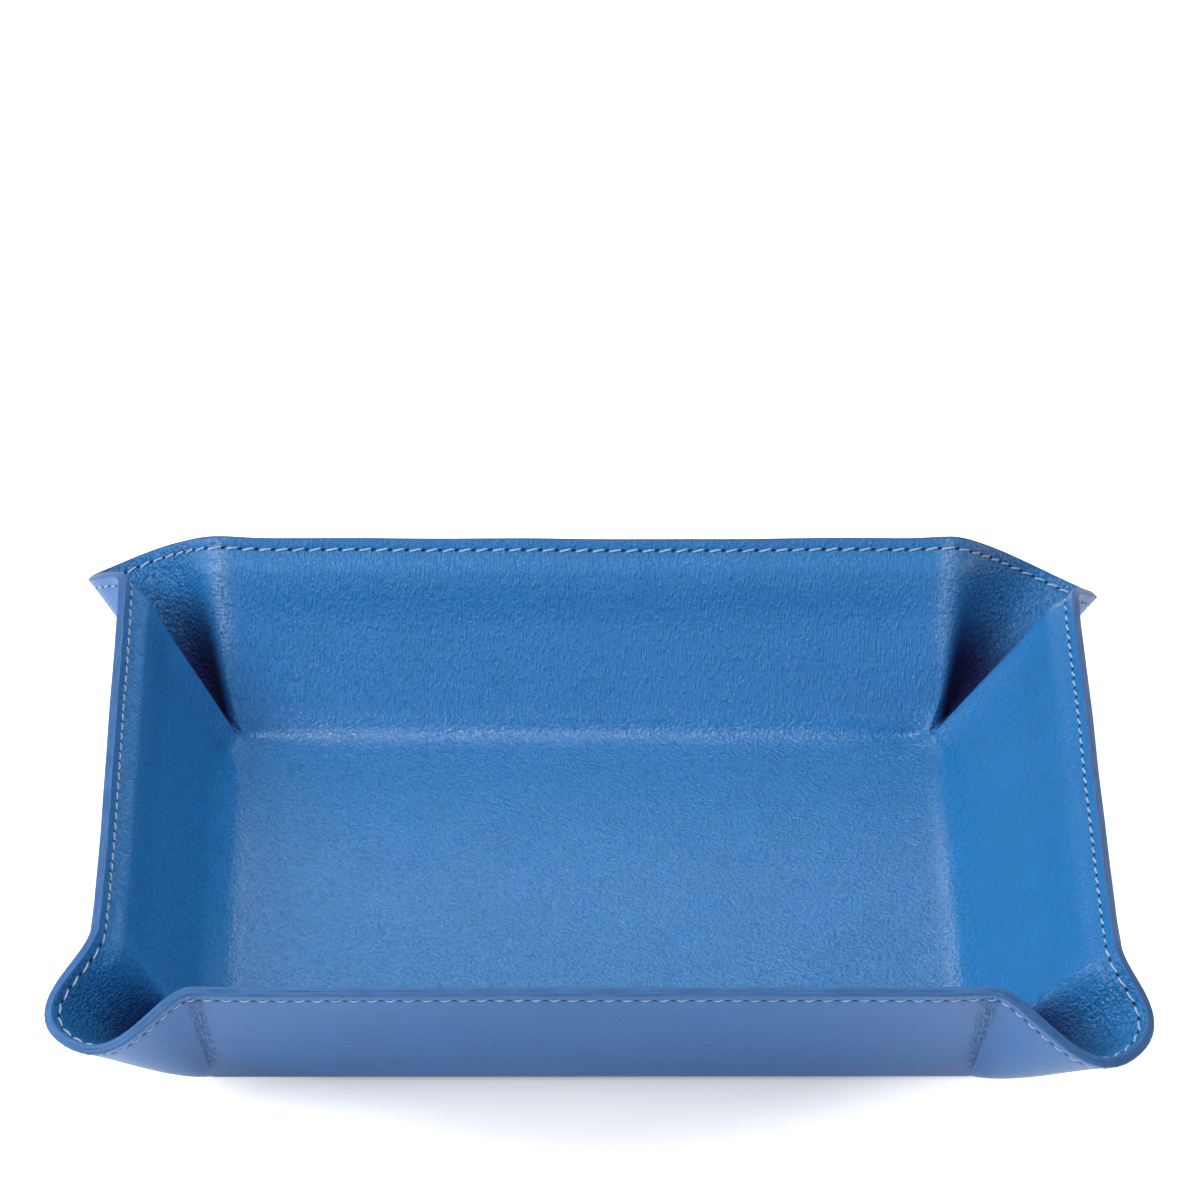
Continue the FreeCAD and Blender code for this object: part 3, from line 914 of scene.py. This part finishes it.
def stitch_tree():
    """Geometry Nodes that lay one arched stitch on every point."""
    tree = bpy.data.node_groups.new("seam_stitches", "GeometryNodeTree")
    kinds = dict.fromkeys(["Stitch length", "Thread width", "Rise", "Dip", "Slant", "Wander"], "Float")
    kinds = {"Geometry": "Geometry", **kinds, "Seed": "Int", "Thread": "Material"}
    for name, kind in kinds.items():
        tree.interface.new_socket(name, in_out="INPUT", socket_type=f"NodeSocket{kind}")
    tree.interface.new_socket("Geometry", in_out="OUTPUT", socket_type="NodeSocketGeometry")
    graph = Graph(tree)
    inputs = graph.node("NodeGroupInput")
    size = {socket.name: Signal(graph, socket) for socket in inputs.outputs if socket.name}

    half = size["Stitch length"] * 0.5
    path = graph.node("GeometryNodeCurveQuadraticBezier", {
        "Resolution": STITCH_STEPS,
        "Start": graph.vector(half * -1.0, 0.0, size["Dip"] * -1.0),
        "Middle": graph.vector(0.0, 0.0, size["Rise"] * 2.0 + size["Dip"]),
        "End": graph.vector(half, 0.0, size["Dip"] * -1.0),
    }, "Curve")
    section = graph.node("GeometryNodeCurvePrimitiveCircle", {
        "Resolution": THREAD_SIDES, "Radius": size["Thread width"] * 0.5}, "Curve")
    stitch = graph.node("GeometryNodeCurveToMesh", {
        "Curve": path, "Profile Curve": section, "Fill Caps": True}, "Mesh")

    def direction(name):
        return graph.node(
            "GeometryNodeInputNamedAttribute", {"Name": name}, "Attribute", data_type="FLOAT_VECTOR")

    laid = graph.node("FunctionNodeAxesToRotation", {
        "Primary Axis": direction("along"), "Secondary Axis": direction("outward"),
    }, "Rotation", primary_axis="X", secondary_axis="Z")
    stray = graph.node("FunctionNodeRandomValue", {
        "Min_001": size["Wander"] * -1.0, "Max_001": size["Wander"], "Seed": size["Seed"],
    }, "Value_001", data_type="FLOAT")
    turn = graph.node("FunctionNodeAxisAngleToRotation", {
        "Axis": (0.0, 0.0, 1.0), "Angle": size["Slant"] + stray}, "Rotation")
    turned = graph.node("FunctionNodeRotateRotation", {
        "Rotation": laid, "Rotate By": turn}, "Rotation", rotation_space="LOCAL")
    row = graph.node("GeometryNodeInstanceOnPoints", {
        "Points": size["Geometry"], "Instance": stitch, "Rotation": turned}, "Instances")
    real = graph.node("GeometryNodeRealizeInstances", {"Geometry": row}, "Geometry")
    round_shaded = graph.node("GeometryNodeSetShadeSmooth", {"Geometry": real}, "Geometry")
    sewn = graph.node("GeometryNodeSetMaterial", {
        "Geometry": round_shaded, "Material": size["Thread"]}, "Geometry")
    graph.node("NodeGroupOutput", {"Geometry": sewn})
    return tree


def hole_pitch(tray):
    """Spacing of the needle holes, so that a whole number of them goes round the rim."""
    return tray.rim_length / round(tray.rim_length / bpy.context.scene.tray_seam.pitch)


def stitch_row(name, tray, facing, thickness):
    """A point for each stitch on one side of the rim, with its directions."""
    seam = bpy.context.scene.tray_seam
    run = np.concatenate([strip.run for strip in tray.strips])
    pitch = hole_pitch(tray)
    spots = (np.arange(round(tray.rim_length / pitch)) + 0.5) * pitch

    def read(part, at):
        rows = np.concatenate([getattr(strip, part) for strip in tray.strips])
        return np.stack([np.interp(at, run, rows[:, axis]) for axis in range(3)], axis=-1)

    def seat(at):
        rim, foot = read("rim", at), read("foot", at)
        down_share = (seam.inset / np.linalg.norm(foot - rim, axis=1))[:, None]
        lean = mix(read("rim_lean", at), read("foot_lean", at), down_share)
        level = (thickness - seam.groove_depth) * facing
        return rim + (foot - rim) * down_share + lean * level, lean * facing

    centre, outward = seat(spots)
    along = seat(spots + pitch / 4)[0] - seat(spots - pitch / 4)[0]
    mesh = bpy.data.meshes.new(name)
    mesh.from_pydata(centre.tolist(), [], [])
    for mark, values in (("along", unit(along)), ("outward", unit(outward))):
        attribute = mesh.attributes.new(mark, "FLOAT_VECTOR", "POINT")
        attribute.data.foreach_set("vector", values.astype(np.float32).ravel())
    return add_object(name, mesh)


def apply_nodes(piece, tree, values):
    """Runs Geometry Nodes on a piece and keeps the result as its plain mesh."""
    modifier = piece.modifiers.new(tree.name, "NODES")
    modifier.node_group = tree
    for item in tree.interface.items_tree:
        if item.in_out == "INPUT" and item.name in values:
            modifier[item.identifier] = values[item.name]
    evaluated = piece.evaluated_get(bpy.context.evaluated_depsgraph_get())
    mesh = bpy.data.meshes.new_from_object(evaluated)
    piece.modifiers.clear()
    piece.data = mesh
    if not mesh.polygons:
        raise RuntimeError(f"{piece.name} came out empty")


def settle(piece, slot, *nodes):
    """A finished piece rides on the tray and stands for its solids."""
    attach(piece, "root")
    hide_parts(*nodes)


def make_leather(name, node, tone, thickness, grain, facing, lining):
    """Makes one leather with its painted edge; the lining rises over the boards."""
    pitch = hole_pitch(Tray(bpy.context.scene.tray_sizes))
    leather = leather_material(f"{name}_grain", tone, pitch, grain, lining)
    piece = leather_sheet(f"{name}_skin", [leather, edge_material()], facing, thickness, lining)
    settle(piece, node, node)


class TRAY_OT_outer_leather(bpy.types.Operator):
    """Make the outer leather, with its painted edge"""

    bl_idname = "tray.outer_leather"
    bl_label = "Outer leather"

    def execute(self, context):
        tone, thickness = context.scene.tray_finish.outside, context.scene.tray_sizes.outer_thickness
        make_leather("outer", "outer_leather", tone, thickness, grain=0.2, facing=-1.0, lining=False)
        return {"FINISHED"}


class TRAY_OT_lining(bpy.types.Operator):
    """Make the lining leather, drawn over the boards, with its painted edge"""

    bl_idname = "tray.lining"
    bl_label = "Lining leather"

    def execute(self, context):
        tone, thickness = context.scene.tray_finish.lining, context.scene.tray_sizes.inner_thickness
        make_leather("lining", "inner_leather", tone, thickness, grain=1.0, facing=1.0, lining=True)
        return {"FINISHED"}


class TRAY_OT_boards(bpy.types.Operator):
    """Give the stiffening boards their fibre finish"""

    bl_idname = "tray.boards"
    bl_label = "Boards"

    def execute(self, context):
        material = board_material()
        for name in BOARD_NODES:
            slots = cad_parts[name].data.materials
            slots.clear()
            slots.append(material)
        return {"FINISHED"}


class TRAY_OT_seam(bpy.types.Operator):
    """Sew the rim: needle thread inside and bobbin thread outside"""

    bl_idname = "tray.seam"
    bl_label = "Rim seam"

    def execute(self, context):
        scene = context.scene
        seam, sizes = scene.tray_seam, scene.tray_sizes
        tray = Tray(sizes)
        tree = stitch_tree()
        thread = thread_material()
        rows = [
            ("needle", 1.0, sizes.inner_thickness, seam.stitch_length, seam.thread_width, NEEDLE_SEED),
            ("bobbin", -1.0, sizes.outer_thickness, seam.bobbin_length, seam.bobbin_width, BOBBIN_SEED),
        ]
        for name, facing, thickness, shown, width, seed in rows:
            piece = stitch_row(f"{name}_stitches", tray, facing, thickness)
            apply_nodes(piece, tree, {
                "Stitch length": shown, "Thread width": width, "Rise": seam.rise,
                "Dip": seam.dip, "Slant": seam.slant, "Wander": seam.wander, "Seed": seed, "Thread": thread,
            })
            settle(piece, "thread", f"{name}_thread")
        return {"FINISHED"}


def floor_material(stage):
    """White floor that keeps the tray's soft shadow near it, with painted light covering that shadow further
    out, and lets a camera below see through.
    """
    material, graph = new_material("floor_white")
    rays = graph.node("ShaderNodeLightPath")
    seen = sum(Signal(graph, rays.outputs[f"Is {kind} Ray"]) for kind in ("Camera", "Glossy", "Transmission"))
    away = graph.distance(graph.object_place())
    # painted light: from the shade reach outwards the floor's glow rises to full white, covering the tray's
    # shadow there
    far = away.between(stage.shade_reach, SHADE_END * stage.shade_reach)
    matt = graph.node("ShaderNodeBsdfDiffuse", {"Color": FLOOR_TONE}, "BSDF")
    glow = seen * (stage.floor_white + far * (1.0 - stage.floor_white))
    white = graph.node("ShaderNodeEmission", {"Color": glow, "Strength": 1.0}, "Emission")
    floor = graph.node("ShaderNodeAddShader", {"Shader": matt, "Shader_001": white}, "Shader")
    clear = graph.node("ShaderNodeBsdfTransparent", None, "BSDF")
    below = graph.node("ShaderNodeNewGeometry", None, "Backfacing")
    sides = {"Fac": below, "Shader": floor, "Shader_001": clear}
    both = graph.node("ShaderNodeMixShader", sides, "Shader")
    graph.node("ShaderNodeOutputMaterial", {"Surface": both})
    return material


def add_lamp(name, place, size, power):
    """Adds a soft lamp that is aimed at the tray."""
    lamp = bpy.data.lights.new(name, "AREA")
    lamp.shape = "RECTANGLE"
    lamp.size, lamp.size_y = size
    lamp.energy = power
    holder = add_object(name, lamp)
    holder.location = place
    way = np.array(LAMP_AIM) - np.array(place)
    flat = math.hypot(way[0], way[1])
    holder.rotation_euler = (math.atan2(flat, -way[2]), 0.0, math.atan2(way[1], way[0]) - QUARTER_TURN)


class TRAY_OT_stage(bpy.types.Operator):
    """Set the floor, the soft studio light and the camera"""

    bl_idname = "tray.stage"
    bl_label = "Stage"

    def execute(self, context):
        scene = context.scene
        stage = scene.tray_stage
        half = stage.floor_size / 2
        corners = [(-half, -half), (half, -half), (half, half), (-half, half)]
        mesh = bpy.data.meshes.new("floor")
        mesh.from_pydata([(x, y, -stage.floor_gap) for x, y in corners], [], [(0, 1, 2, 3)])
        mesh.materials.append(floor_material(stage))
        floor = add_object("floor", mesh)

        world = bpy.data.worlds.new("room")
        world.use_nodes = True
        world.node_tree.nodes.clear()
        graph = Graph(world.node_tree)
        room = graph.node("ShaderNodeBackground", {
            "Color": (1.0, 1.0, 1.0, 1.0), "Strength": stage.room_light}, "Background")
        graph.node("ShaderNodeOutputWorld", {"Surface": room})
        scene.world = world

        for lamp in LAMPS:
            add_lamp(*lamp)

        camera = add_object("camera", bpy.data.cameras.new("camera"))
        camera.data.lens = stage.lens
        camera.data.sensor_width = stage.sensor
        camera.data.clip_end = stage.floor_size
        tilt, turn = stage.camera_elevation, stage.camera_turn
        away = -stage.camera_distance * math.cos(tilt) + stage.camera_rise * math.sin(tilt)
        height = stage.camera_distance * math.sin(tilt) + stage.camera_rise * math.cos(tilt)
        place = Matrix.Rotation(-turn, 4, "Z") @ Matrix.Translation((stage.camera_aside, away, height))
        look = Matrix.Rotation(QUARTER_TURN - tilt, 4, "X") @ Matrix.Rotation(stage.camera_roll, 4, "Z")
        camera.matrix_world = place @ look
        scene.camera = camera
        scene.view_settings.view_transform = "Standard"
        return {"FINISHED"}


class TRAY_PT_sidebar(bpy.types.Panel):
    """The tray's sizes, finishes and pieces"""

    bl_idname = "TRAY_PT_sidebar"
    bl_label = "Valet tray"
    bl_space_type = "VIEW_3D"
    bl_region_type = "UI"
    bl_category = "Valet tray"

    def draw(self, context):
        layout = self.layout
        for operator in OPERATORS:
            layout.operator(operator.bl_idname)
        for name in GROUPS:
            group = getattr(context.scene, name)
            box = layout.box()
            for key in group.__annotations__:
                box.prop(group, key, text=key.replace("_", " ").capitalize())


OPERATORS = [TRAY_OT_outer_leather, TRAY_OT_lining, TRAY_OT_boards, TRAY_OT_seam, TRAY_OT_stage]
GROUPS = {"tray_sizes": TraySizes, "tray_seam": TraySeam, "tray_finish": TrayFinish, "tray_stage": TrayStage}


def register():
    for group in GROUPS.values():
        bpy.utils.register_class(group)
    for name, group in GROUPS.items():
        setattr(bpy.types.Scene, name, PointerProperty(type=group))
    for listed in OPERATORS + [TRAY_PT_sidebar]:
        bpy.utils.register_class(listed)


def unregister():
    for listed in reversed(OPERATORS + [TRAY_PT_sidebar]):
        bpy.utils.unregister_class(listed)
    for name, group in GROUPS.items():
        delattr(bpy.types.Scene, name)
        bpy.utils.unregister_class(group)


def main():
    register()
    bpy.ops.tray.outer_leather()
    bpy.ops.tray.lining()
    bpy.ops.tray.boards()
    bpy.ops.tray.seam()
    bpy.ops.tray.stage()


if __name__ == "__main__":
    main()
